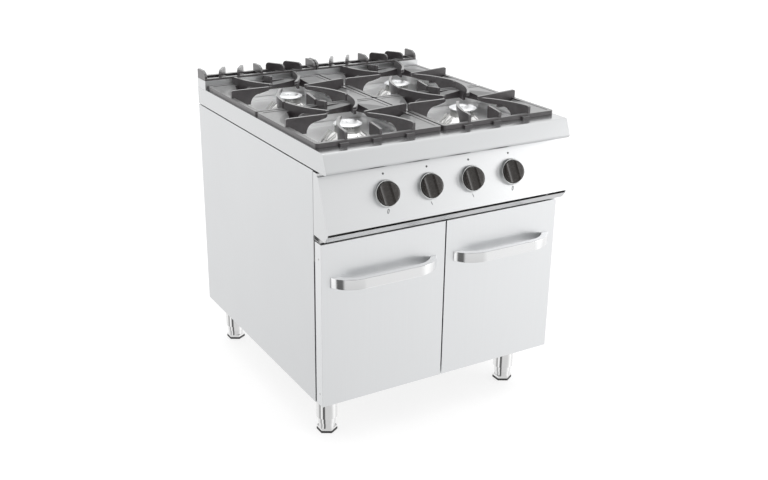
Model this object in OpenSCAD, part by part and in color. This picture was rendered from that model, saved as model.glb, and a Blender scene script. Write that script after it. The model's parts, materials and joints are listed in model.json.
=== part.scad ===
// Free-standing gas cooking range: four burners on a closed cabinet with two doors.
// Units are millimetres. +Z is up, the doors face -Y, the origin is on the floor under the centre.

/* [Body] */
// overall width over the side panels
body_w = 800; // [600:5:1000]
// distance from the origin plane to the back panel's outer face
rear_y = 450; // [350:5:500]
// floor to the flat worktop surface
worktop_h = 900; // [800:5:950]
// floor to the underside of the cabinet
leg_h = 150; // [100:5:200]
// sheet steel thickness of the panels
sheet = 1.5; // [0.8:0.1:3]
// front edge of the side panels
side_front_y = -374; // [-400:1:-300]
// height of the joint between the hob skirt and the side panels
skirt_z = 845; // [780:1:870]
// height of the open seam under the hob skirt
seam = 3.5; // [1:0.5:6]

/* [Hob] */
// top front corner of the hob
hob_front_y = -434; // [-450:1:-400]
// lower front edge of the sloping hob fascia
fascia_y = -452; // [-470:1:-434]
// height of the lower edge of the fascia
fascia_z = 852; // [820:1:880]
// height of the flue riser above the worktop
riser_h = 29; // [15:1:60]
// front face of the flue riser
riser_y = 383; // [340:1:420]
// well size along X
well_w = 344; // [280:2:360]
// well size along Y
well_d = 344; // [280:2:350]
// well depth under the worktop
well_depth = 50; // [20:1:60]
// burner centre to the middle plane, along X
burner_x = 197.5; // [180:0.5:220]
// burner centre to the middle plane, along Y
burner_y = 192; // [170:0.5:220]

/* [Control panel] */
// top front edge of the control panel
panel_top_y = -405; // [-420:1:-380]
// height of the control panel's top edge
panel_top_z = 830.4; // [800:0.1:850]
// foremost edge of the control panel
panel_nose_y = -454; // [-480:1:-430]
// height of that foremost edge
panel_nose_z = 690; // [660:1:720]
// distance between neighbouring knob axes
knob_pitch = 139; // [100:1:180]
// height of the knob axes on the panel face
knob_z = 763; // [720:1:800]
// radius of a knob
knob_r = 33; // [20:1:45]
// distance a knob is pushed in before it turns
knob_push = 3; // [2:0.5:6]

/* [Doors] */
// outer front face of the doors
door_front_y = -416; // [-440:1:-390]
// thickness of a door
door_t = 36; // [20:1:45]
// height of the lower door edge
door_z0 = 153; // [151:1:200]
// height of the upper door edge
door_z1 = 645; // [600:1:655]
// half of the gap between the two doors
door_gap = 2; // [1:0.5:5]
// handle width
handle_w = 344; // [150:2:360]
// how far the handle stands out from the door
handle_out = 50; // [30:1:70]
// height of the handle bar section
handle_h = 30; // [15:1:40]
// lower edge of the handle bar
handle_z = 516; // [400:1:600]

/* [Grates] */
// grate width along X
grate_w = 389; // [350:1:395]
// grate depth along Y
grate_d = 379; // [350:1:390]
// top of the flat grate frame
web_top = 913; // [905:1:930]
// top of the grate fins
fin_top = 936; // [920:1:960]
// thickness of a grate fin
fin_t = 8; // [5:0.5:12]

/* [Legs] */
// leg centre to the middle plane, along X
leg_x = 326; // [250:1:360]
// front leg centre
leg_front_y = -300; // [-360:1:-200]
// rear leg centre
leg_rear_y = 404; // [200:1:420]

/* [Hidden] */
$fn = 64;
half_w = body_w / 2;
panel_tilt = atan2(panel_top_y - panel_nose_y, panel_top_z - panel_nose_z);
knob_y = panel_top_y - (panel_top_z - knob_z) * tan(panel_tilt);
well_floor = worktop_h - well_depth;
well_r = 46;
pilot_x = -80;
inlet_x = 352;
inlet_z = 733;
manifold_y = -344;
fasten_gap = 0.2;
corners = [["fl", -1, -1], ["fr", 1, -1], ["rl", -1, 1], ["rr", 1, 1]];
knob_xs = [-1.5 * knob_pitch, -0.5 * knob_pitch, 0.5 * knob_pitch, 1.5 * knob_pitch];
hinge_x = half_w - 10;
hinge_y = -392;
hinge_r = 3;
door_h = door_z1 - door_z0;
door_w = half_w - 1 - door_gap;
cap_top = worktop_h + 6;
head_z = worktop_h - 21;
grate_z = worktop_h + 0.4;
rear_wall_y = 160;
fin_deep = worktop_h - 12;
dish_z = worktop_h - 7;
dish_r = 138;
dish_angle = 20;
arch_r = 30;

// ---------- helpers ----------

// axis-aligned block between two corners
module block(a, b) {
    translate(a)
        cube(b - a);
}

// flat rectangle with round corners, centred
module round_rect(w, d, r) {
    square([w - 2 * r, d], center = true);
    square([w, d - 2 * r], center = true);
    for (sx = [-1, 1], sy = [-1, 1])
        translate([sx * (w / 2 - r), sy * (d / 2 - r)])
            circle(r);
}

// a Y-Z outline carried along X from x0 to x1
module along_x(x0, x1) {
    translate([x0, 0, 0])
        rotate([90, 0, 90])
            linear_extrude(x1 - x0)
                children();
}

// round bar between two points
module rod(a, b, r) {
    d = b - a;
    len = norm(d);
    translate(a)
        rotate([0, acos(d[2] / len), atan2(d[1], d[0])])
            cylinder(h = len, r = r);
}

// frame of a knob: local +Z leaves the panel along the knob axis, local +Y runs up the panel
module on_panel(i) {
    translate([knob_xs[i], knob_y, knob_z])
        rotate([90 - panel_tilt, 0, 0])
            children();
}

// ---------- cabinet ----------

// folded side with lips on three edges and three spacers that carry the hob
module side_panel(s) {
    lip = 24;
    top = skirt_z - seam;
    mirror([s < 0 ? 1 : 0, 0, 0]) {
        block([half_w - sheet, side_front_y, leg_h], [half_w, rear_y, top]);
        block([half_w - lip, side_front_y, leg_h], [half_w, side_front_y + sheet, top]);
        block([half_w - lip, side_front_y, leg_h], [half_w, rear_y - 4, leg_h + sheet]);
        block([half_w - lip, side_front_y, top - sheet], [half_w, rear_y - 4, top]);
        for (y = [-340, 30, 400])
            block([half_w - lip, y, top - sheet], [half_w - lip + 12, y + 24, skirt_z + 12]);
        for (y = [-340, 30, 400])
            block([half_w - lip, y, skirt_z + 12 - sheet], [half_w - sheet - fasten_gap, y + 24, skirt_z + 12]);
    }
}

module side_panel_left() {
    color("silver")
        side_panel(-1);
}

module side_panel_right() {
    color("silver")
        side_panel(1);
}

module back_panel() {
    slot_w = 60;
    color("silver")
        difference() {
            block([-half_w + sheet, rear_y - sheet, leg_h], [half_w - sheet, rear_y, skirt_z - seam]);
            for (i = [-3:3], j = [0:4])
                translate([i * 90, rear_y, 700 + j * 22])
                    cube([slot_w, 10, 5], center = true);
            translate([inlet_x, rear_y + 5, inlet_z])
                rotate([90, 0, 0])
                    cylinder(h = 10, r = 17);
        }
}

module cabinet_floor() {
    z0 = leg_h + sheet + fasten_gap;
    inner = half_w - sheet - fasten_gap;
    front = side_front_y + sheet + fasten_gap;
    color("silver") {
        block([-inner, front, z0], [inner, rear_y - sheet - fasten_gap, z0 + sheet]);
        block([-inner + 24, front, z0], [inner - 24, front + sheet, z0 + 22]);
    }
}

// channel that closes the gap between the control panel and the doors
module front_frame() {
    y0 = -408;
    y1 = side_front_y - 2;
    color("silver") {
        difference() {
            union() {
                block([-half_w + 2, y0, 648], [half_w - 2, y1, 648 + sheet]);
                block([-half_w + 2, y0, 648], [half_w - 2, y0 + sheet, 657]);
                block([-half_w + 2, y1 - sheet, 648], [half_w - 2, y1, 658]);
            }
            for (s = [-1, 1])
                translate([s * hinge_x, hinge_y, 640])
                    cylinder(h = 30, r = hinge_r + 0.05);
        }
    }
}

// shelf between the burner space and the storage cabinet
module heat_shield() {
    z0 = 660;
    inner = half_w - sheet - fasten_gap;
    front = side_front_y + sheet + fasten_gap;
    color("silver") {
        block([-inner, front, z0], [inner, rear_y - sheet - fasten_gap, z0 + sheet]);
        block([-inner + 24, front, z0 - 14], [inner - 24, front + sheet, z0 + sheet]);
    }
}

module hinge_pins() {
    color("dimgray")
        for (s = [-1, 1]) {
            translate([s * hinge_x, hinge_y, door_z1 - 8])
                cylinder(h = 648 - door_z1 + 8 + sheet + 4, r = hinge_r);
            translate([s * hinge_x, hinge_y, leg_h - 2.5])
                cylinder(h = 12, r = hinge_r);
            block([s * (hinge_x - 9) - 14, hinge_y - 8, leg_h - 2.5],
                  [s * (hinge_x - 9) + 14, side_front_y + 24, leg_h]);
            block([s * (half_w - 12.5) - 11, side_front_y - 2.2, 584],
                  [s * (half_w - 12.5) + 11, side_front_y - fasten_gap, 646]);
        }
}

module door_magnets() {
    color("dimgray")
        for (s = [-1, 1])
            block([s * 34 - 20, side_front_y - 3, 626], [s * 34 + 20, side_front_y + 11, 645.8]);
}

// ---------- doors ----------

// pressed outer skin with four folded edges and the two hinge holes
module door_skin(s) {
    y0 = door_front_y;
    y1 = door_front_y + door_t;
    mirror([s < 0 ? 1 : 0, 0, 0])
        difference() {
            block([door_gap, y0, door_z0], [half_w - 1, y1, door_z1]);
            block([door_gap + sheet, y0 + sheet, door_z0 + sheet],
                  [half_w - 1 - sheet, y1 + 1, door_z1 - sheet]);
            translate([hinge_x, hinge_y, door_z0 - 5])
                cylinder(h = door_h + 10, r = hinge_r + 0.08);
        }
}

module door_skin_left() {
    color("lightgray")
        door_skin(-1);
}

module door_skin_right() {
    color("lightgray")
        door_skin(1);
}

// inner lid that closes the back of the door skin
module door_liner(s) {
    e = sheet + fasten_gap;
    y1 = door_front_y + door_t;
    mirror([s < 0 ? 1 : 0, 0, 0])
        difference() {
            block([door_gap + e, y1 - 12, door_z0 + e], [half_w - 1 - e, y1, door_z1 - e]);
            block([door_gap + e + 1.2, y1 - 13, door_z0 + e + 1.2],
                  [half_w - 1 - e - 1.2, y1 - 1.2, door_z1 - e - 1.2]);
            block([hinge_x - 8, y1 - 20, door_z1 - 14], [half_w, y1 - 1.2, door_z1]);
            block([hinge_x - 8, y1 - 20, door_z0], [half_w, y1 - 1.2, door_z0 + 14]);
        }
}

module door_liner_left() {
    color("gainsboro")
        door_liner(-1);
}

module door_liner_right() {
    color("gainsboro")
        door_liner(1);
}

// outline of the D handle's curved bar; y = 0 is the door face, the bar stands towards -y
module handle_outline(inset) {
    arc_r = 95.6;
    straight = handle_w / 2 - 84;
    front = -handle_out + inset;
    cy = -handle_out + arc_r;
    intersection() {
        translate([-handle_w, -handle_out])
            square([2 * handle_w, handle_out + (inset > 0 ? 1 : 0)]);
        union() {
            translate([-straight, front])
                square([2 * straight, handle_out + 2]);
            for (s = [-1, 1])
                translate([s * straight, cy])
                    circle(r = arc_r - inset, $fn = 96);
        }
    }
}

module door_handle(s) {
    bar_t = 19;
    translate([s * (door_gap + door_w / 2), door_front_y - fasten_gap, handle_z])
        linear_extrude(handle_h)
            difference() {
                handle_outline(0);
                handle_outline(bar_t);
            }
}

module door_handle_left() {
    color("whitesmoke")
        door_handle(-1);
}

module door_handle_right() {
    color("whitesmoke")
        door_handle(1);
}

// ---------- control panel and knobs ----------

// side outline of the sloping control panel, shrunk by the sheet thickness for its hollow;
// a ledge under the fascia makes the shadow gap
module panel_outline(t) {
    ledge = 6;
    rise = 8.6;
    polygon([
        [side_front_y - 2 + (t > 0 ? 5 : 0), panel_top_z + rise - t],
        [panel_top_y + ledge + t, panel_top_z + rise - t],
        [panel_top_y + ledge + t, panel_top_z - t],
        [panel_top_y + t, panel_top_z - t],
        [panel_nose_y - 1.4 + t * 1.1, panel_nose_z - 4],
        [panel_nose_y + 1 + t, panel_nose_z - 12.5 + t * 0.3],
        [panel_nose_y + 15 + t * 0.3, panel_nose_z - 30 + t],
        [side_front_y - 2 + (t > 0 ? 5 : 0), panel_nose_z - 27 + t]
    ]);
}

module control_panel() {
    color("lightgray")
        difference() {
            along_x(-half_w, half_w)
                panel_outline(0);
            along_x(-half_w + sheet, half_w - sheet)
                panel_outline(sheet);
            block([-half_w + 2.5, panel_nose_y - 3, panel_nose_z - 12],
                  [half_w - 2.5, panel_nose_y + 6, panel_nose_z - 5]);
            for (i = [0:3])
                on_panel(i)
                    translate([0, 0, -8])
                        cylinder(h = 16, r = 9);
        }
}

// fixed chrome rings that surround the knobs
module knob_bezels() {
    ring_h = 12;
    color("gray")
        for (i = [0:3])
            on_panel(i)
                translate([0, 0, fasten_gap])
                    rotate_extrude()
                        polygon([[10, 0], [knob_r + 6, 0], [knob_r + 6, 2],
                                 [knob_r + 4.5, ring_h - 1.5], [knob_r + 3.5, ring_h],
                                 [knob_r + 1.2, ring_h], [knob_r + 1.2, 1.5], [10, 1.5]]);
}

// round cap with a deep groove beside its middle, so that a half-moon grip is left
module knob(i) {
    back = 6;
    front = 28;
    groove_r = 24.6;
    on_panel(i)
        rotate([0, 0, 9])
            difference() {
                rotate_extrude()
                    polygon([[0, back], [knob_r - 1, back], [knob_r, back + 1], [knob_r, front - 12],
                             [knob_r - 1.5, front - 6], [knob_r - 3.5, front - 2], [knob_r - 6, front - 0.6],
                             [knob_r - 9, front], [0, front]]);
                translate([-12, 60, front + 13.6])
                    rotate([90, 0, 0])
                        cylinder(h = 120, r = groove_r);
                translate([0, 0, back - 1])
                    cylinder(h = 10, r = 4);
            }
}

module knob_1() {
    color("black")
        knob(0);
}

module knob_2() {
    color("black")
        knob(1);
}

module knob_3() {
    color("black")
        knob(2);
}

module knob_4() {
    color("black")
        knob(3);
}

// ---------- gas train ----------

module valve_spindle(i) {
    on_panel(i)
        translate([0, 0, -40])
            cylinder(h = 40 + 14, r = 3.95);
}

module valve_spindle_1() {
    color("silver")
        valve_spindle(0);
}

module valve_spindle_2() {
    color("silver")
        valve_spindle(1);
}

module valve_spindle_3() {
    color("silver")
        valve_spindle(2);
}

module valve_spindle_4() {
    color("silver")
        valve_spindle(3);
}

// four valve bodies: spindle bore at the front, spigot into the manifold at the rear
module gas_valves() {
    color("goldenrod")
        for (i = [0:3])
            on_panel(i)
                difference() {
                    union() {
                        translate([0, 0, -76])
                            cylinder(h = 52, r = 14);
                        translate([0, 0, -24])
                            cylinder(h = 10, r = 8);
                        translate([0, 0, -84])
                            cylinder(h = 10, r = 5);
                        translate([0, 0, -60])
                            cylinder(h = 12, r = 18, $fn = 6);
                    }
                    translate([0, 0, -46])
                        cylinder(h = 40, r = 4);
                }
}

// feed pipe behind the valves with its branch to the back
module gas_manifold() {
    turn = [inlet_x, manifold_y, inlet_z];
    color("dimgray")
        difference() {
            union() {
                rod([-250, manifold_y, inlet_z], turn, 11);
                translate(turn)
                    sphere(11);
                rod(turn, [inlet_x, rear_y - 9, inlet_z], 11);
            }
            rod([-240, manifold_y, inlet_z], turn, 8.5);
            translate(turn)
                sphere(8.5);
            rod(turn, [inlet_x, rear_y, inlet_z], 8.5);
            for (i = [0:3])
                on_panel(i)
                    translate([0, 0, -92])
                        cylinder(h = 20, r = 5.3);
        }
}

// hexagon union and outside thread for the supply pipe
module gas_inlet() {
    color("goldenrod")
        translate([inlet_x, 0, inlet_z])
            rotate([-90, 0, 0])
                difference() {
                    union() {
                        translate([0, 0, rear_y - 8.8])
                            cylinder(h = 10, r = 15, $fn = 6);
                        translate([0, 0, rear_y])
                            cylinder(h = 16, r = 10.48);
                    }
                    translate([0, 0, rear_y - 14])
                        cylinder(h = 40, r = 7.5);
                }
}

// small pipes from each valve to the injector under its burner
module supply_tubes() {
    links = [[0, -1, -1], [1, -1, 1], [2, 1, 1], [3, 1, -1]];
    drop_z = 704;
    port_y = -380;
    color("darkgoldenrod")
        for (k = links) {
            p0 = [knob_xs[k[0]], port_y, 727.6];
            p1 = [knob_xs[k[0]], port_y, drop_z];
            p2 = [k[1] * burner_x, k[2] * burner_y, drop_z];
            p3 = [k[1] * burner_x, k[2] * burner_y, 767.8];
            rod(p1, p0, 5, $fn = 24);
            rod(p1, p2, 5, $fn = 24);
            rod(p2, p3, 5, $fn = 24);
            translate(p1)
                sphere(6.5, $fn = 24);
            translate(p2)
                sphere(6.5, $fn = 24);
        }
}

module injectors() {
    color("gold")
        for (c = corners)
            translate([c[1] * burner_x, c[2] * burner_y, 768]) {
                cylinder(h = 12, r = 11, $fn = 6);
                cylinder(h = 17, r = 6);
                cylinder(h = 22, r = 3);
            }
}

// pilot tube and flame probe that lean against the left side of each burner bell
module pilot_burners() {
    foot_z = well_floor + 2;
    color("silver")
        for (c = corners)
            translate([c[1] * burner_x, c[2] * burner_y, 0])
                for (k = [[14, 3.4], [-4, 2.6]]) {
                    foot = [pilot_x, k[0], foot_z];
                    rod([pilot_x, k[0], 822], foot, k[1], $fn = 24);
                    translate(foot)
                        sphere(k[1] + 1.2, $fn = 24);
                    rod(foot, [pilot_x + 29, k[0] * 0.8, foot_z + 34], k[1], $fn = 24);
                    translate([pilot_x, k[0], foot_z - 12])
                        cylinder(h = 8, r = k[1] + 3.4, $fn = 6);
                }
}

// ---------- hob ----------

// side outline of the pressed hob; the under side is open
module hob_outline() {
    polygon([[rear_y, worktop_h], [hob_front_y + 4, worktop_h], [hob_front_y + 1, worktop_h - 1],
             [hob_front_y - 1, worktop_h - 4], [fascia_y, fascia_z + 2], [fascia_y + 0.5, fascia_z - 2],
             [fascia_y + 6, skirt_z], [rear_y, skirt_z]]);
}

module hob_hollow() {
    polygon([[rear_y - sheet, worktop_h - sheet], [hob_front_y + 5, worktop_h - sheet],
             [hob_front_y + 1, worktop_h - 5], [fascia_y + 1.7, fascia_z + 2],
             [fascia_y + 6.5, skirt_z + 1.8], [fascia_y + 16, skirt_z + 1.8],
             [fascia_y + 16, skirt_z - 5], [rear_y - sheet, skirt_z - 5]]);
}

module hob_top() {
    color("lightgray")
        difference() {
            along_x(-half_w, half_w)
                hob_outline();
            along_x(-half_w + sheet, half_w - sheet)
                hob_hollow();
            for (c = corners)
                translate([c[1] * burner_x, c[2] * burner_y, worktop_h - 10])
                    linear_extrude(20)
                        round_rect(well_w, well_d, well_r);
            block([-half_w + 30, riser_y + 14, 880], [half_w - 30, rear_y - 16, worktop_h + 5]);
        }
}

// four drawn pans welded under the openings of the hob, each with a hole for burner and pilot
module hob_wells() {
    color("lightgray")
        for (c = corners)
            translate([c[1] * burner_x, c[2] * burner_y, 0])
                difference() {
                    translate([0, 0, well_floor - sheet])
                        linear_extrude(well_depth - fasten_gap)
                            round_rect(well_w + 2 * sheet, well_d + 2 * sheet, well_r + sheet);
                    translate([0, 0, well_floor])
                        linear_extrude(well_depth)
                            round_rect(well_w, well_d, well_r);
                    translate([0, 0, well_floor - 10])
                        cylinder(h = 20, r = 52);
                    translate([pilot_x, 5, well_floor - 10])
                        cylinder(h = 20, r = 18);
                }
}

// removable pan with an upturned rim and a collar round the burner
module drip_tray(sx, sy) {
    z0 = well_floor + fasten_gap;
    w = well_w - 6;
    d = well_d - 6;
    translate([sx * burner_x, sy * burner_y, z0])
        difference() {
            union() {
                difference() {
                    linear_extrude(14)
                        round_rect(w, d, well_r - 3);
                    translate([0, 0, 1.2])
                        linear_extrude(20)
                            round_rect(w - 2.4, d - 2.4, well_r - 4.2);
                }
                cylinder(h = 6, r = 60);
            }
            translate([0, 0, -1])
                cylinder(h = 10, r = 58.6);
            translate([pilot_x, 5, -1])
                cylinder(h = 10, r = 18);
        }
}

module drip_tray_fl() {
    color("gainsboro")
        drip_tray(-1, -1);
}

module drip_tray_fr() {
    color("gainsboro")
        drip_tray(1, -1);
}

module drip_tray_rl() {
    color("gainsboro")
        drip_tray(-1, 1);
}

module drip_tray_rr() {
    color("gainsboro")
        drip_tray(1, 1);
}

// conical mixing bell on a tube that stands over the injector
module burner_body(sx, sy) {
    zf = well_floor + fasten_gap;
    translate([sx * burner_x, sy * burner_y, 0])
        rotate_extrude()
            polygon([[21, 792], [24, 792], [24, 825], [36, zf - 3], [50, zf - 2], [50, zf], [56, zf],
                     [56, zf + 7], [66, zf + 7], [66, zf + 9], [63.5, zf + 10], [40, head_z - 1.5],
                     [38.6, head_z], [33, head_z], [33, head_z - 10], [48, zf + 6], [33, zf],
                     [21, 828]]);
}

module burner_body_fl() {
    color("silver")
        burner_body(-1, -1);
}

module burner_body_fr() {
    color("silver")
        burner_body(1, -1);
}

module burner_body_rl() {
    color("silver")
        burner_body(-1, 1);
}

module burner_body_rr() {
    color("silver")
        burner_body(1, 1);
}

// slotted ring that carries the flame ports and drops into the bell
module burner_head(sx, sy) {
    ports = 30;
    z0 = head_z + fasten_gap;
    z1 = worktop_h - 1;
    translate([sx * burner_x, sy * burner_y, 0])
        difference() {
            rotate_extrude()
                polygon([[27, z0 - 8], [32.5, z0 - 8], [32.5, z0], [37.6, z0], [37.6, z0 + 3],
                         [36.8, z0 + 4], [36.8, z1], [27, z1]]);
            for (k = [0:ports - 1])
                rotate([0, 0, k * 360 / ports])
                    block([24, -1.1, z1 - 7], [40, 1.1, z1 + 1]);
        }
}

module burner_head_fl() {
    color("silver")
        burner_head(-1, -1);
}

module burner_head_fr() {
    color("silver")
        burner_head(1, -1);
}

module burner_head_rl() {
    color("silver")
        burner_head(-1, 1);
}

module burner_head_rr() {
    color("silver")
        burner_head(1, 1);
}

// loose lid of the burner with a locating skirt inside the ring
module burner_cap(sx, sy) {
    z0 = worktop_h - 1 + fasten_gap;
    translate([sx * burner_x, sy * burner_y, 0])
        rotate_extrude()
            polygon([[0, z0], [22, z0], [22, z0 - 4], [26.5, z0 - 4], [26.5, z0], [41.5, z0],
                     [42, z0 + 1], [42, z0 + 2.4], [41, z0 + 3.6], [35, cap_top - 0.5], [31, cap_top],
                     [15, cap_top], [13, cap_top - 1.2], [5, cap_top - 1.2], [4.5, cap_top + 0.6],
                     [3, cap_top + 1.2], [0, cap_top + 1.2]]);
}

module burner_cap_fl() {
    color("white")
        burner_cap(-1, -1);
}

module burner_cap_fr() {
    color("white")
        burner_cap(1, -1);
}

module burner_cap_rl() {
    color("white")
        burner_cap(-1, 1);
}

module burner_cap_rr() {
    color("white")
        burner_cap(1, 1);
}

// ---------- grates ----------

// flat corner plate of a grate, drawn for the rear right corner
module corner_plate() {
    x1 = grate_w / 2 - 3;
    y1 = grate_d / 2 - 3;
    polygon([[x1, y1], [111, y1], [114, 165], [119, 140], [127, 112], [131, 84], [133, 62],
             [137, 46], [145, 32], [157, 19], [170, 10], [x1, 6]]);
}

// plan of the rim of a grate
module grate_rim() {
    rim = 12;
    difference() {
        round_rect(grate_w, grate_d, 9);
        round_rect(grate_w - 2 * rim, grate_d - 2 * rim, 5);
    }
}

// plan of the plates: three corners and the strip along the rear, the front left corner stays open
module plate_plan() {
    for (m = [[0, 0], [1, 0], [0, 1]])
        mirror([m[0], 0])
            mirror([0, m[1]])
                corner_plate();
    translate([-grate_w / 2 + 4, rear_wall_y])
        square([grate_w - 8, grate_d / 2 - 4 - rear_wall_y]);
}

// plates a little lower than the rim, deeper over the well and dished towards the burner
module grate_plates() {
    plate_top = web_top - 1;
    over_well = well_w - 10;
    difference() {
        union() {
            translate([0, 0, grate_z])
                linear_extrude(plate_top - grate_z)
                    plate_plan();
            translate([0, 0, fin_deep])
                linear_extrude(plate_top - fin_deep)
                    intersection() {
                        plate_plan();
                        round_rect(over_well, over_well, well_r - 5);
                    }
        }
        translate([0, 0, dish_z])
            cylinder(h = 40, r1 = dish_r, r2 = dish_r + 40 / tan(dish_angle));
    }
}

// side outline of a long fin: rests over the worktop, hangs into the well, then arches to its tip
module fin_outline(root, reach, root_top, tip_top) {
    tip = root + reach;
    well_edge = -well_w / 2 + 4;
    arch_x = root + 92;
    arch = [for (a = [0:15:90]) [arch_x - arch_r * cos(a), fin_deep + arch_r * sin(a)]];
    polygon(concat([[root, grate_z], [well_edge, grate_z], [well_edge + 1, fin_deep]], arch,
                   [[tip - 5, tip_top - 11], [tip, tip_top - 7], [tip, tip_top - 1.5],
                    [tip - 2, tip_top], [root + 5, root_top], [root, root_top - 3]]));
}

// straight fin along +X from the rim inwards
module straight_fin(reach, root_top, tip_top) {
    translate([0, fin_t / 2, 0])
        rotate([90, 0, 0])
            linear_extrude(fin_t)
                fin_outline(-grate_w / 2 + 2, reach, root_top, tip_top);
}

// hooked fin that curves from the front rim towards the burner, drawn for the front right
module hook_fin() {
    arc_r = 256;
    root = [105, -grate_d / 2 + 3];
    centre = root - arc_r * [cos(4), sin(4)];
    intersection() {
        translate([0, 0, fin_deep - 1])
            linear_extrude(fin_top - fin_deep + 2)
                difference() {
                    translate(centre)
                        circle(r = arc_r + fin_t / 2, $fn = 180);
                    translate(centre)
                        circle(r = arc_r - fin_t / 2, $fn = 180);
                }
        translate([30, 0, 0])
            rotate([90, 0, 90])
                linear_extrude(90)
                    fin_outline(root[1], 150, fin_top - 1, fin_top - 1);
    }
}

// foot under the front rim that rests on the hob; it stands out in front on the front grates
module rim_foot(x, out) {
    block([x - 13, -grate_d / 2 - out, worktop_h], [x + 13, -grate_d / 2 + 6, worktop_h + 7]);
}

// short fin at the middle of the front rim, rising towards the burner
module short_fin() {
    y0 = -grate_d / 2 + 3;
    along_x(-fin_t / 2, fin_t / 2)
        polygon([[y0, grate_z], [y0 + 56, grate_z], [y0 + 56, fin_top - 1], [y0 + 54, fin_top],
                 [y0 + 4, fin_top - 6], [y0, fin_top - 8]]);
}

module grate(sx, sy) {
    translate([sx * burner_x, sy * burner_y, 0]) {
        translate([0, 0, grate_z])
            linear_extrude(web_top - grate_z)
                grate_rim();
        grate_plates();
        straight_fin(127, fin_top, fin_top);
        mirror([1, 0, 0])
            straight_fin(138, fin_top + 1, fin_top - 6);
        for (a = [0, 1], b = [0, 1])
            mirror([a, 0, 0])
                mirror([0, b, 0])
                    hook_fin();
        for (b = [0, 1])
            mirror([0, b, 0])
                short_fin();
        for (x = [-115, -15, 89])
            rim_foot(x, sy < 0 ? 8 : 0);
        for (x = [-100, 100])
            block([x - 10, grate_d / 2 - 14, worktop_h], [x + 10, grate_d / 2 - 3, worktop_h + 4]);
    }
}

module grate_fl() {
    color("dimgray")
        grate(-1, -1);
}

module grate_fr() {
    color("dimgray")
        grate(1, -1);
}

module grate_rl() {
    color("dimgray")
        grate(-1, 1);
}

module grate_rr() {
    color("dimgray")
        grate(1, 1);
}

// ---------- flue ----------

// open-topped upstand at the back of the hob that the flue gases leave through
module flue_riser() {
    y1 = rear_y - 1;
    z0 = worktop_h;
    z1 = worktop_h + riser_h;
    color("lightgray")
        difference() {
            block([-half_w, riser_y, z0], [half_w, y1, z1]);
            block([-half_w + sheet, riser_y + sheet, z0 - 1], [half_w - sheet, y1 - sheet, z1 - sheet]);
            block([-half_w + 20, riser_y + 12, z0], [half_w - 20, y1 - 12, z1 + 1]);
        }
}

// upright lug across the flue, its front top corner cut away
module flue_lug(x) {
    y1 = rear_y - 3;
    z0 = worktop_h + riser_h + 2;
    along_x(x - 4, x + 4)
        polygon([[riser_y + 1, z0], [y1, z0], [y1, z0 + 26], [y1 - 3, z0 + 28],
                 [riser_y + 22, z0 + 28], [riser_y + 6, z0 + 21], [riser_y + 1, z0 + 12]]);
}

// slanting paddle across the flue; turn is its angle from the Y axis
module flue_paddle(x, turn) {
    z0 = worktop_h + riser_h + 2;
    half = 35;
    translate([x, (riser_y + rear_y) / 2 - 1, 0])
        rotate([0, 0, turn])
            along_x(-4.5, 4.5)
                polygon([[-half, z0], [half, z0], [half, z0 + 18], [half - 3, z0 + 24],
                         [half - 8, z0 + 27], [-half + 12, z0 + 27], [-half + 4, z0 + 23],
                         [-half, z0 + 16]]);
}

// cast flue cover drawn for the left half: slotted base, three lugs and four paddles
module flue_grille() {
    x0 = -half_w + 0.5;
    x1 = -5.5;
    xm = (x0 + x1) / 2;
    z0 = worktop_h + riser_h + fasten_gap;
    difference() {
        union() {
            block([x0, riser_y, z0], [x1, rear_y - 2, z0 + 6]);
            block([x0 + 26, riser_y + 15, z0 - 12], [x1 - 26, rear_y - 17, z0 + 1]);
        }
        block([x0 + 30, riser_y + 19, z0 - 20], [x1 - 30, rear_y - 21, z0 + 1]);
        for (i = [0:5])
            block([x0 + 16 + i * 63, riser_y + 14, z0 - 20], [x0 + 66 + i * 63, rear_y - 16, z0 + 20]);
    }
    for (x = [x0 + 4, xm, x1 - 4])
        flue_lug(x);
    for (k = [1, 2])
        flue_paddle(xm - k * 63 + 0.5, -33);
    for (k = [1, 2])
        flue_paddle(xm + k * 63 - 0.5, 33);
}

module flue_grille_left() {
    color("dimgray")
        flue_grille();
}

module flue_grille_right() {
    color("dimgray")
        translate([half_w - 2.5, 0, 0])
            flue_grille();
}

// ---------- legs ----------

module leg_sleeves() {
    sleeve_z = 48;
    color("gainsboro")
        for (s = [-1, 1], y = [leg_front_y, leg_rear_y])
            translate([s * leg_x, y, 0])
                difference() {
                    union() {
                        translate([0, 0, sleeve_z])
                            cylinder(h = leg_h - sleeve_z - fasten_gap, r = 32);
                        translate([-42, -42, leg_h - 3 - fasten_gap])
                            cube([84, 84, 3]);
                        translate([-36, -36, leg_h - 1])
                            cube([72, 72, sheet + 1]);
                    }
                    translate([0, 0, sleeve_z - 5])
                        cylinder(h = 142 - sleeve_z + 5, r = 27.4);
                }
}

// adjustable foot: plain stem, flare and hexagonal base
module foot(sx, y) {
    translate([sx * leg_x, y, 0]) {
        rotate([0, 0, 30])
            cylinder(h = 14, r = 30, $fn = 6);
        rotate_extrude()
            polygon([[0, 10], [25, 10], [25.5, 20], [27, 32], [27, 135], [25, 137], [0, 137]]);
    }
}

module foot_fl() {
    color("gray")
        foot(-1, leg_front_y);
}

module foot_fr() {
    color("gray")
        foot(1, leg_front_y);
}

module foot_rl() {
    color("gray")
        foot(-1, leg_rear_y);
}

module foot_rr() {
    color("gray")
        foot(1, leg_rear_y);
}

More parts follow.
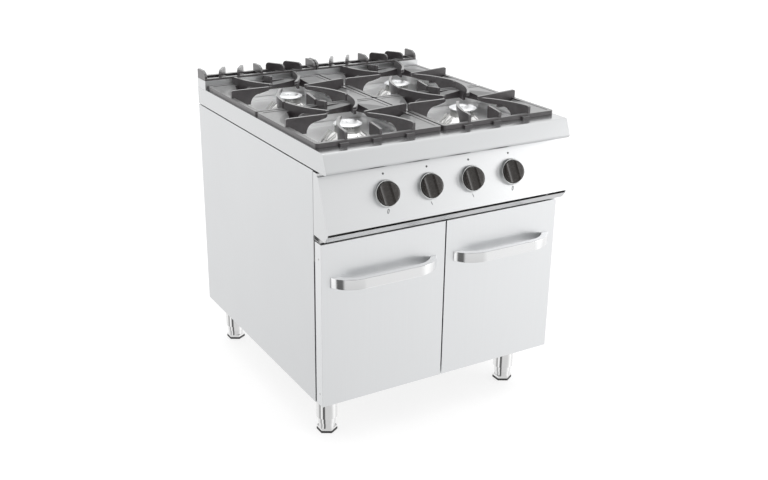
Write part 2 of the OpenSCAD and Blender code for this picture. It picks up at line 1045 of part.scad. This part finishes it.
side_panel_left();
side_panel_right();
back_panel();
cabinet_floor();
front_frame();
heat_shield();
control_panel();
hob_top();
hob_wells();
flue_riser();
flue_grille_left();
flue_grille_right();
drip_tray_fl();
drip_tray_fr();
drip_tray_rl();
drip_tray_rr();
burner_body_fl();
burner_body_fr();
burner_body_rl();
burner_body_rr();
burner_head_fl();
burner_head_fr();
burner_head_rl();
burner_head_rr();
burner_cap_fl();
burner_cap_fr();
burner_cap_rl();
burner_cap_rr();
grate_fl();
grate_fr();
grate_rl();
grate_rr();
knob_1();
knob_2();
knob_3();
knob_4();
knob_bezels();
valve_spindle_1();
valve_spindle_2();
valve_spindle_3();
valve_spindle_4();
gas_valves();
gas_manifold();
gas_inlet();
supply_tubes();
injectors();
pilot_burners();
door_skin_left();
door_skin_right();
door_liner_left();
door_liner_right();
door_handle_left();
door_handle_right();
hinge_pins();
door_magnets();
leg_sleeves();
foot_fl();
foot_fr();
foot_rl();
foot_rr();
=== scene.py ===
"""Looks for a four-burner gas range. Metres, +Z up, the doors face -Y, the floor is z = 0."""

import json
import math

import bmesh
import bpy
from mathutils import Matrix, Vector


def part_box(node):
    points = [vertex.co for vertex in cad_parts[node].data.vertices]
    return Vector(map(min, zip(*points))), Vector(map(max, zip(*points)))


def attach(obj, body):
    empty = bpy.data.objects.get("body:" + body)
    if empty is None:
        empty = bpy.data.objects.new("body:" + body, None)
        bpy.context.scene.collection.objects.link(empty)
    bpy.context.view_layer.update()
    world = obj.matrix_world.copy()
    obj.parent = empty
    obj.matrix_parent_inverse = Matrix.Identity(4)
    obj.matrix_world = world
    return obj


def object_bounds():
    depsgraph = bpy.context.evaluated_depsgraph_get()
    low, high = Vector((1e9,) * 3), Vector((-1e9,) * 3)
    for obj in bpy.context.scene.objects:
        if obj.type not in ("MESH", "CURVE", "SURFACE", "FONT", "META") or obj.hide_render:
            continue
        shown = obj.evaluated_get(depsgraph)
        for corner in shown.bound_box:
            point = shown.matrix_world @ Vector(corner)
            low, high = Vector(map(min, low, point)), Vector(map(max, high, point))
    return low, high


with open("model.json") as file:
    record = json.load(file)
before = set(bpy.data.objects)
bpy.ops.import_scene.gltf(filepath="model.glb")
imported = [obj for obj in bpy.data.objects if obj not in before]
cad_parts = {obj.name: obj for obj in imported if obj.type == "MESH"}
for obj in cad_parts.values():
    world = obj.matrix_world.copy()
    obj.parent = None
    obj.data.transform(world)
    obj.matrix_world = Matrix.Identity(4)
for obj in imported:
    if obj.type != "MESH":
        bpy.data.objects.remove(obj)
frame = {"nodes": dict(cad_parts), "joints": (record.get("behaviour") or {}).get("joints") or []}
cad_lo, cad_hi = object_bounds()
nodes = frame["nodes"]
joints = {j["name"]: j for j in frame["joints"]}
scene = bpy.context.scene


# ---------- node materials ----------

# The middle of a noise, where nearly all of its values lie.
NOISE_LOW, NOISE_HIGH = 0.3, 0.7
# Metres from ridge to ridge of a wave texture at scale 1.
WAVE_LENGTH = 0.314


def new_material(name, base, metallic, roughness, **sockets):
    """A material with its shader's constant sockets set; returns it, its node tree and the shader."""
    mat = bpy.data.materials.new(name)
    mat.use_nodes = True
    shader = mat.node_tree.nodes["Principled BSDF"]
    shader.inputs["Base Color"].default_value = (*base, 1)
    shader.inputs["Metallic"].default_value = metallic
    shader.inputs["Roughness"].default_value = roughness
    for key, value in sockets.items():
        shader.inputs[key.replace("_", " ")].default_value = value
    return mat, mat.node_tree, shader


def even(cells):
    """The same number of noise cells along X, Y and Z."""
    return (cells, cells, cells)


def noise(tree, stretch, detail=3.0, roughness=0.55):
    """Noise in object space; stretch is how many cells it has to the metre along X, Y and Z."""
    coords = tree.nodes.new("ShaderNodeTexCoord")
    mapping = tree.nodes.new("ShaderNodeMapping")
    mapping.inputs["Scale"].default_value = stretch
    texture = tree.nodes.new("ShaderNodeTexNoise")
    texture.inputs["Scale"].default_value = 1.0
    texture.inputs["Detail"].default_value = detail
    texture.inputs["Roughness"].default_value = roughness
    tree.links.new(coords.outputs["Object"], mapping.inputs["Vector"])
    tree.links.new(mapping.outputs["Vector"], texture.inputs["Vector"])
    return texture.outputs["Fac"]


def spread(tree, source, low, high, span=(NOISE_LOW, NOISE_HIGH)):
    """Maps a span of the source to the numbers low to high."""
    remap = tree.nodes.new("ShaderNodeMapRange")
    remap.inputs["From Min"].default_value, remap.inputs["From Max"].default_value = span
    remap.inputs["To Min"].default_value, remap.inputs["To Max"].default_value = low, high
    tree.links.new(source, remap.inputs["Value"])
    return remap.outputs["Result"]


def ramp(tree, source, *stops):
    """A colour ramp over the source; stops are (place, colour)."""
    node = tree.nodes.new("ShaderNodeValToRGB")
    elements = node.color_ramp.elements
    while len(elements) < len(stops):
        elements.new(0.5)
    for element, (place, colour) in zip(elements, stops):
        element.position = place
        element.color = (*colour, 1)
    tree.links.new(source, node.inputs["Fac"])
    return node.outputs["Color"]


def tint(tree, source, dark, light):
    """A colour from dark to light over the middle of a noise."""
    return ramp(tree, source, (NOISE_LOW, dark), (NOISE_HIGH, light))


def blend(tree, factor, first, second):
    """Mixes two colours by a factor from 0 to 1; second is an output or a plain colour."""
    mix = tree.nodes.new("ShaderNodeMix")
    mix.data_type = "RGBA"
    tree.links.new(factor, mix.inputs["Factor"])
    tree.links.new(first, mix.inputs["A"])
    if isinstance(second, tuple):
        mix.inputs["B"].default_value = (*second, 1)
    else:
        tree.links.new(second, mix.inputs["B"])
    return mix.outputs["Result"]


def bump(tree, shader, source, height, strength, under=None):
    """Bump from a noise, height in metres; under is an earlier bump's normal."""
    node = tree.nodes.new("ShaderNodeBump")
    node.inputs["Distance"].default_value = height
    node.inputs["Strength"].default_value = strength
    tree.links.new(source, node.inputs["Height"])
    if under:
        tree.links.new(under, node.inputs["Normal"])
    tree.links.new(node.outputs["Normal"], shader.inputs["Normal"])
    return node.outputs["Normal"]


def surface(tree, shader, source, dark, light, smooth, rough):
    """Colour from dark to light and roughness from smooth to rough over the same noise."""
    tree.links.new(tint(tree, source, dark, light), shader.inputs["Base Color"])
    tree.links.new(spread(tree, source, smooth, rough), shader.inputs["Roughness"])


def brushed(name, grain, light, dark, rough):
    """Brushed steel: faint fine streaks along the grain, and broad clouds in the polish."""
    mat, tree, shader = new_material(name, light, 1.0, rough)
    streaks = noise(tree, grain, 2, 0.5)
    clouds = noise(tree, even(5), 2)
    tree.links.new(tint(tree, streaks, dark, light), shader.inputs["Base Color"])
    both = tree.nodes.new("ShaderNodeMath")
    both.operation = "ADD"
    tree.links.new(spread(tree, streaks, rough - 0.006, rough + 0.006), both.inputs[0])
    tree.links.new(spread(tree, clouds, -0.01, 0.01), both.inputs[1])
    tree.links.new(both.outputs[0], shader.inputs["Roughness"])
    return mat


def clouded(name, light, dark, rough):
    """Bare metal with faint clouds in its colour and polish; returns what new_material does."""
    mat, tree, shader = new_material(name, light, 1.0, rough)
    surface(tree, shader, noise(tree, even(45), 4), dark, light, rough * 0.7, rough * 1.3)
    return mat, tree, shader


def polished(name, light, dark, rough):
    """Polished metal with faint clouds and a very slight ripple."""
    mat, tree, shader = clouded(name, light, dark, rough)
    bump(tree, shader, noise(tree, even(160), 2), 0.00001, 0.15)
    return mat


def threaded(name, light, dark, rough, pitch):
    """Metal with a screw thread's ridges along Y."""
    mat, tree, shader = clouded(name, light, dark, rough)
    coords = tree.nodes.new("ShaderNodeTexCoord")
    ridges = tree.nodes.new("ShaderNodeTexWave")
    ridges.bands_direction = "Y"
    ridges.inputs["Scale"].default_value = WAVE_LENGTH / pitch
    tree.links.new(coords.outputs["Object"], ridges.inputs["Vector"])
    bump(tree, shader, ridges.outputs["Fac"], 0.0006, 1.0)
    return mat


def turned(name, light, dark, rough, stretch):
    """Metal turned in a lathe about Z: its fine rings draw each reflection out into an upright band."""
    mat, tree, shader = new_material(name, light, 1.0, rough, Anisotropic=stretch)
    rings = noise(tree, (14, 14, 1800), 3)
    surface(tree, shader, rings, dark, light, rough * 0.85, rough * 1.15)
    upright = tree.nodes.new("ShaderNodeCombineXYZ")
    upright.inputs["Z"].default_value = 1.0
    tree.links.new(upright.outputs["Vector"], shader.inputs["Tangent"])
    bump(tree, shader, rings, 0.000004, 0.2)
    return mat


def cast_iron(name):
    """Black enamelled iron with the grain of sand casting, with painted top light: greyer where it faces
    up.
    """
    mat, tree, shader = new_material(name, (0.05, 0.05, 0.05), 0.0, 0.35, Specular_IOR_Level=0.6,
                                     Coat_Weight=0.5, Coat_Roughness=0.22)
    skin = noise(tree, even(60), 5)
    grain = noise(tree, even(900), 2)
    geometry = tree.nodes.new("ShaderNodeNewGeometry")
    axes = tree.nodes.new("ShaderNodeSeparateXYZ")
    tree.links.new(geometry.outputs["Normal"], axes.inputs["Vector"])
    # Painted light: faces that point up get a much lighter grey than the sides, standing in for light from
    # above.
    painted_top_light = spread(tree, axes.outputs["Z"], 0.0, 1.0, (0.3, 0.95))
    face = tint(tree, skin, (0.046, 0.041, 0.043), (0.060, 0.054, 0.057))
    top = tint(tree, skin, (0.135, 0.136, 0.137), (0.160, 0.161, 0.162))
    tree.links.new(blend(tree, painted_top_light, face, top), shader.inputs["Base Color"])
    tree.links.new(spread(tree, skin, 0.28, 0.42), shader.inputs["Roughness"])
    skin_bump = bump(tree, shader, skin, 0.0004, 0.2)
    bump(tree, shader, grain, 0.00005, 0.25, skin_bump)
    return mat


def plastic(name, dark, light, rough, grain_height):
    """Moulded plastic, rubber or paint with a fine grain and slightly uneven gloss."""
    mat, tree, shader = new_material(name, light, 0.0, rough)
    surface(tree, shader, noise(tree, even(90), 3), dark, light, rough - 0.06, rough + 0.08)
    bump(tree, shader, noise(tree, even(2500), 1), grain_height, 0.2)
    return mat


def shade(grey, cool=0.0):
    """A grey; cool shifts it from red to blue."""
    return (grey * (1 - cool), grey, grey * (1 + cool))


ALONG_X = (4, 300, 300)
ALONG_Z = (300, 300, 4)
BRASS_LIGHT, BRASS_DARK = (0.80, 0.62, 0.30), (0.62, 0.44, 0.18)
INLET_PITCH = 0.0018

panel_steel = brushed("PanelSteel", ALONG_X, shade(0.685, 0.010), shade(0.679, 0.010), 0.30)
door_steel = brushed("DoorSteel", ALONG_Z, shade(0.79, 0.012), shade(0.78, 0.012), 0.36)
deck_steel = brushed("DeckSteel", ALONG_X, shade(0.625, 0.012), shade(0.615, 0.012), 0.22)
side_steel = brushed("SideSteel", ALONG_Z, shade(0.71, 0.012), shade(0.70, 0.012), 0.38)
inner_steel = brushed("InnerSteel", ALONG_X, shade(0.62), shade(0.60), 0.36)
# Painted light: the wells get a far lighter steel than the deck, making up for the shade inside them.
lit_well_steel = brushed("WellSteelPaintedLight", ALONG_Z, shade(0.96, 0.002), shade(0.94, 0.002), 0.46)
tray_steel = brushed("TraySteel", ALONG_X, shade(0.92, 0.003), shade(0.90, 0.003), 0.36)
bell_metal = turned("BellMetal", (0.86, 0.86, 0.85), (0.80, 0.80, 0.79), 0.24, 0.7)
head_metal = turned("HeadMetal", (0.50, 0.50, 0.49), (0.44, 0.44, 0.43), 0.30, 0.6)
cap_metal = polished("CapMetal", (0.80, 0.81, 0.82), (0.76, 0.77, 0.78), 0.32)
trim_chrome = polished("TrimChrome", (0.74, 0.75, 0.75), (0.70, 0.71, 0.71), 0.09)
handle_metal = brushed("HandleMetal", ALONG_X, shade(0.80, 0.004), shade(0.79, 0.004), 0.12)
leg_metal = polished("LegMetal", (0.84, 0.84, 0.84), (0.81, 0.81, 0.81), 0.08)
zinc = polished("ZincPlate", (0.66, 0.66, 0.65), (0.56, 0.56, 0.55), 0.35)
brass = polished("Brass", BRASS_LIGHT, BRASS_DARK, 0.28)
thread_brass = threaded("ThreadBrass", BRASS_LIGHT, BRASS_DARK, 0.28, INLET_PITCH)
tube_metal = polished("TubeMetal", (0.74, 0.74, 0.74), (0.60, 0.60, 0.60), 0.34)
pipe_paint = plastic("PipePrimer", (0.10, 0.10, 0.105), (0.15, 0.15, 0.155), 0.5, 0.00006)
iron = cast_iron("CastIron")
knob_plastic = plastic("KnobPlastic", (0.020, 0.017, 0.015), (0.032, 0.028, 0.025), 0.24, 0.000004)
magnet_plastic = plastic("MagnetPlastic", (0.02, 0.02, 0.02), (0.04, 0.04, 0.04), 0.45, 0.00004)
# Painted shade: the black bands round the feet's lower edges take this material.
rubber = plastic("FootShadeBand", (0.018, 0.018, 0.018), (0.030, 0.030, 0.030), 0.6, 0.00004)
ink = plastic("PanelInk", (0.03, 0.03, 0.032), (0.06, 0.06, 0.063), 0.5, 0.00001)

# How the nodes' names start, and their material; the first match counts.
FINISHES = [
    (("side_panel",), side_steel),
    (("back_panel", "cabinet_floor", "heat_shield", "front_frame", "door_liner"), inner_steel),
    (("door_skin",), door_steel),
    (("control_panel", "flue_riser"), panel_steel),
    (("hob_top",), deck_steel),
    (("hob_wells",), lit_well_steel),
    (("drip_tray",), tray_steel),
    (("flue_grille", "grate"), iron),
    (("burner_body",), bell_metal),
    (("burner_head",), head_metal),
    (("burner_cap",), cap_metal),
    (("knob_bezels",), trim_chrome),
    (("knob",), knob_plastic),
    (("valve_spindle", "pilot_burners", "hinge_pins"), zinc),
    (("gas_inlet",), thread_brass),
    (("gas_valves", "injectors"), brass),
    (("supply_tubes",), tube_metal),
    (("gas_manifold",), pipe_paint),
    (("door_handle",), handle_metal),
    (("door_magnets",), magnet_plastic),
    (("leg_sleeves", "foot"), leg_metal),
]
# How the nodes' names start, and how wide their rounded edges are.
EDGES = {
    "grate": 0.0017,
    "flue_grille": 0.0012,
    "door_handle": 0.0016,
    "knob_": 0.0006,
    "hob_top": 0.0005,
    "control_panel": 0.0006,
    "door_skin": 0.0006,
    "side_panel": 0.0005,
    "flue_riser": 0.0005,
    "foot": 0.0010,
    "leg_sleeves": 0.0008,
    "burner_cap": 0.0004,
}
WELD_DISTANCE = 0.00001
SHARP_EDGE = math.radians(38)


def dress(name, obj):
    """Gives a CAD node its material, and rounds its edges with modifiers where they catch the light."""
    mat = next(m for starts, m in FINISHES if name.startswith(starts))
    obj.data.materials.clear()
    obj.data.materials.append(mat)
    width = next((w for start, w in EDGES.items() if name.startswith(start)), 0)
    if width:
        weld = obj.modifiers.new("Weld", "WELD")
        weld.merge_threshold = WELD_DISTANCE
        edge = obj.modifiers.new("Edges", "BEVEL")
        edge.width = width
        edge.segments = 2
        edge.limit_method = "ANGLE"
        edge.angle_limit = SHARP_EDGE
        normals = obj.modifiers.new("Normals", "WEIGHTED_NORMAL")
        normals.mode = "FACE_AREA_WITH_ANGLE"
        normals.keep_sharp = True


for name, obj in nodes.items():
    dress(name, obj)


# ---------- small pieces ----------


def solid(name, body, mat, place, build):
    """A piece from a bmesh that build fills in, put in place by a matrix, riding on a CAD body."""
    bm = bmesh.new()
    build(bm)
    bmesh.ops.recalc_face_normals(bm, faces=bm.faces)
    bm.transform(place)
    mesh = bpy.data.meshes.new(name)
    bm.to_mesh(mesh)
    bm.free()
    mesh.materials.append(mat)
    obj = bpy.data.objects.new(name, mesh)
    scene.collection.objects.link(obj)
    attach(obj, body)


def loop(bm, points, z):
    """New corners at the points, all at height z."""
    return [bm.verts.new((x, y, z)) for x, y in points]


def wall(bm, first, second):
    """Faces between two closed loops with as many corners."""
    count = len(first)
    for i in range(count):
        j = (i + 1) % count
        bm.faces.new((first[i], first[j], second[j], second[i]))


def prism(bm, outline, low, high, hole=()):
    """Raises an outline from low to high; hole is an inner outline with as many points."""
    outer = loop(bm, outline, low), loop(bm, outline, high)
    wall(bm, *outer)
    if not hole:
        bm.faces.new(outer[0])
        bm.faces.new(outer[1])
        return
    inner = loop(bm, hole, low), loop(bm, hole, high)
    wall(bm, *inner)
    for outer_loop, inner_loop in zip(outer, inner):
        wall(bm, outer_loop, inner_loop)


def oval(centre, wide, tall, turn=0.0, count=24):
    """Points of an ellipse with half axes wide and tall, turned by turn radians."""
    points = []
    for k in range(count):
        a = 2 * math.pi * k / count
        x, y = wide * math.cos(a), tall * math.sin(a)
        points.append((centre[0] + x * math.cos(turn) - y * math.sin(turn),
                       centre[1] + x * math.sin(turn) + y * math.cos(turn)))
    return points


def ring(radius, turn=0.0, count=24):
    """Points of a circle about the origin."""
    return oval((0, 0), radius, radius, turn, count)


def knob_frame(number):
    """Local +Z along a knob's axis away from the panel, +Y up the panel, the panel's face at z = 0."""
    turn = joints[f"tap_{number}_turn"]
    out = Vector(turn["axis"]).normalized()
    side = Vector((1, 0, 0))
    axes = Matrix((side, out.cross(side), out)).transposed()
    return Matrix.Translation(turn["pos_m"]) @ axes.to_4x4()


def panel_marks():
    """Printed marks on the panel: a dot over each knob, and a small flame or tick under it."""
    thick = 0.0002
    dot = oval((0, 0.0545), 0.0030, 0.0030)
    flame_at, flame_lean = (-0.001, -0.0478), 1.15
    flame = oval(flame_at, 0.0068, 0.0031, flame_lean)
    flame_heart = oval(flame_at, 0.0050, 0.0014, flame_lean)
    tick = oval((-0.001, -0.0475), 0.0062, 0.0009, 1.9, 12)
    for number in (1, 2, 3, 4):
        place = knob_frame(number)
        solid(f"knob_dot_{number}", "cabinet", ink, place,
              lambda bm: prism(bm, dot, 0, thick))
        if number in (1, 4):
            solid(f"flame_mark_{number}", "cabinet", ink, place,
                  lambda bm: prism(bm, flame, 0, thick, flame_heart))
        else:
            solid(f"low_mark_{number}", "cabinet", ink, place,
                  lambda bm: prism(bm, tick, 0, thick))


def screw(bm, radius, dome, recess):
    """Domed head with a small round recess, axis +Z, seat at z = 0."""
    crown = radius * 0.55
    profile = [(radius, 0), (radius, dome * 0.35), (radius * 0.86, dome * 0.75), (crown, dome)]
    loops = [loop(bm, ring(r), z) for r, z in profile]
    for low, high in zip(loops, loops[1:]):
        wall(bm, low, high)
    bm.faces.new(loops[0])
    top = bm.faces.new(loops[-1])
    bmesh.ops.inset_region(bm, faces=[top], thickness=crown - recess, depth=0)
    bmesh.ops.translate(bm, verts=list(top.verts), vec=(0, 0, -dome * 0.6))


def door_screws():
    """Two screw heads in the outer edge of each door."""
    from_top, from_bottom, forward = 0.045, 0.037, 0.003
    head_r, dome, recess = 0.0026, 0.0007, 0.0004
    for side_name, outward in (("left", -1), ("right", 1)):
        low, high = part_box(f"door_skin_{side_name}")
        edge = low.x if outward < 0 else high.x
        middle = (low.y + high.y) / 2 - forward
        turn = Matrix.Rotation(math.radians(90 * outward), 4, "Y")
        for row, z in (("upper", high.z - from_top), ("lower", low.z + from_bottom)):
            place = Matrix.Translation((edge, middle, z)) @ turn
            solid(f"door_{side_name}_screw_{row}", f"door_{side_name}", zinc, place,
                  lambda bm: screw(bm, head_r, dome, recess))


def foot_shade_bands():
    """A black ring round the lower edge of each foot's hexagon: painted shade, a dark band standing in for
    the shade under the foot's edge.
    """
    hexagon_r, shade_band_r, tall = 0.0301, 0.0312, 0.006
    corner_turn = math.pi / 6
    shade_band = ring(shade_band_r, corner_turn, 6)
    hexagon = ring(hexagon_r, corner_turn, 6)
    for corner in ("fl", "fr", "rl", "rr"):
        low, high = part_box(f"foot_{corner}")
        place = Matrix.Translation(((low.x + high.x) / 2, (low.y + high.y) / 2, low.z))
        solid(f"foot_shade_band_{corner}", f"leg_foot_{corner}", rubber, place,
              lambda bm: prism(bm, shade_band, 0, tall, hexagon))


panel_marks()
door_screws()
foot_shade_bands()


# ---------- camera, floor and light ----------

# The strength of the room's light, and so the brightest level that its ramp can hold.
ROOM_LIGHT = 1.5


def place_camera():
    """The standpoint in front of the left corner, a little above the hob, with its slight tilt."""
    azimuth, elevation, roll = (math.radians(a) for a in (-30.79, 21.32, 0.81))
    standpoint = (-1.5065, -2.5999, 1.6170)
    back = Vector((math.sin(azimuth) * math.cos(elevation), -math.cos(azimuth) * math.cos(elevation),
                   math.sin(elevation)))
    right = Vector((0, 0, 1)).cross(back).normalized()
    up = back.cross(right)
    rolled_right = math.cos(roll) * right + math.sin(roll) * up
    rolled_up = math.cos(roll) * up - math.sin(roll) * right
    data = bpy.data.cameras.new("Camera")
    data.sensor_width = 36
    data.lens = 46.64
    cam = bpy.data.objects.new("Camera", data)
    scene.collection.objects.link(cam)
    axes = Matrix((rolled_right, rolled_up, back)).transposed()
    cam.matrix_world = Matrix.Translation(standpoint) @ axes.to_4x4()
    scene.camera = cam


def area_light(name, place, target, size, power):
    """A rectangular light at a place, aimed at a target."""
    data = bpy.data.lights.new(name, "AREA")
    data.shape = "RECTANGLE"
    data.size, data.size_y = size
    data.energy = power
    light = bpy.data.objects.new(name, data)
    scene.collection.objects.link(light)
    light.location = place
    light.rotation_mode = "QUATERNION"
    light.rotation_quaternion = (Vector(target) - Vector(place)).to_track_quat("-Z", "Y")


def room(tree):
    """What the metal mirrors: a pale room, dim in two places at the left, brightest at the right front."""
    # Places go anticlockwise seen from above: 0 and 1 lie behind the range, 0.5 in front of it.
    around_stops = ((0.00, 1.08), (0.14, 1.08), (0.18, 0.55), (0.23, 0.55), (0.25, 1.20),
                    (0.29, 1.20), (0.305, 0.16), (0.36, 0.16), (0.38, 0.85), (0.50, 0.85),
                    (0.56, 0.88), (0.61, 1.10), (0.66, 1.40), (0.74, 1.10), (1.00, 1.08))
    ceiling = (1.0 / ROOM_LIGHT,) * 3
    coords = tree.nodes.new("ShaderNodeTexCoord")
    axes = tree.nodes.new("ShaderNodeSeparateXYZ")
    tree.links.new(coords.outputs["Generated"], axes.inputs["Vector"])
    minus = tree.nodes.new("ShaderNodeMath")
    minus.operation = "MULTIPLY"
    minus.inputs[1].default_value = -1
    tree.links.new(axes.outputs["Y"], minus.inputs[0])
    angle = tree.nodes.new("ShaderNodeMath")
    angle.operation = "ARCTAN2"
    tree.links.new(axes.outputs["X"], angle.inputs[0])
    tree.links.new(minus.outputs[0], angle.inputs[1])
    turn = spread(tree, angle.outputs[0], 0, 1, (-math.pi, math.pi))
    around = ramp(tree, turn, *((place, (level / ROOM_LIGHT,) * 3) for place, level in around_stops))
    overhead = spread(tree, axes.outputs["Z"], 0, 1, (0.55, 0.9))
    dimmed = tree.nodes.new("ShaderNodeVectorMath")
    dimmed.operation = "SCALE"
    tree.links.new(blend(tree, overhead, around, ceiling), dimmed.inputs[0])
    near_floor = spread(tree, axes.outputs["Z"], 0.84, 1.04, (-0.55, -0.28))
    tree.links.new(near_floor, dimmed.inputs["Scale"])
    return dimmed.outputs["Vector"]


def lay_floor():
    """A pale floor just under the feet, which the metal doesn't mirror."""
    half, gap = 14, 0.0005
    mesh = bpy.data.meshes.new("Floor")
    corners = [(-half, -half, 0), (half, -half, 0), (half, half, 0), (-half, half, 0)]
    mesh.from_pydata(corners, [], [(0, 1, 2, 3)])
    floor = bpy.data.objects.new("Floor", mesh)
    scene.collection.objects.link(floor)
    floor.location.z = cad_lo.z - gap
    floor.visible_glossy = False
    mat, tree, shader = new_material("FloorPaint", (0.3, 0.3, 0.3), 0.0, 0.8,
                                     Emission_Color=(1, 1, 1, 1), Emission_Strength=0.74)
    clouds = noise(tree, even(3), 2)
    paint = tint(tree, clouds, (0.29, 0.29, 0.29), (0.31, 0.31, 0.31))
    tree.links.new(paint, shader.inputs["Base Color"])
    mesh.materials.append(mat)


def light_studio():
    """A large soft source overhead, one at the right front, and the room in reflections and light."""
    centre = (cad_lo + cad_hi) / 2
    area_light("Overhead", (0.2, -0.2, 3.6), centre, (3.5, 3.5), 45)
    area_light("RightFront", (3.7, -2.8, 1.15), centre, (2.2, 1.3), 20)
    world = bpy.data.worlds.new("Room")
    scene.world = world
    world.use_nodes = True
    tree = world.node_tree
    backdrop = tree.nodes["Background"]
    backdrop.inputs["Color"].default_value = (1, 1, 1, 1)
    backdrop.inputs["Strength"].default_value = 1.02
    mirrored = tree.nodes.new("ShaderNodeBackground")
    mirrored.inputs["Strength"].default_value = ROOM_LIGHT
    tree.links.new(room(tree), mirrored.inputs["Color"])
    path = tree.nodes.new("ShaderNodeLightPath")
    choose = tree.nodes.new("ShaderNodeMixShader")
    tree.links.new(path.outputs["Is Camera Ray"], choose.inputs["Fac"])
    tree.links.new(mirrored.outputs[0], choose.inputs[1])
    tree.links.new(backdrop.outputs[0], choose.inputs[2])
    tree.links.new(choose.outputs[0], tree.nodes["World Output"].inputs["Surface"])
    scene.view_settings.view_transform = "Standard"


place_camera()
lay_floor()
light_studio()
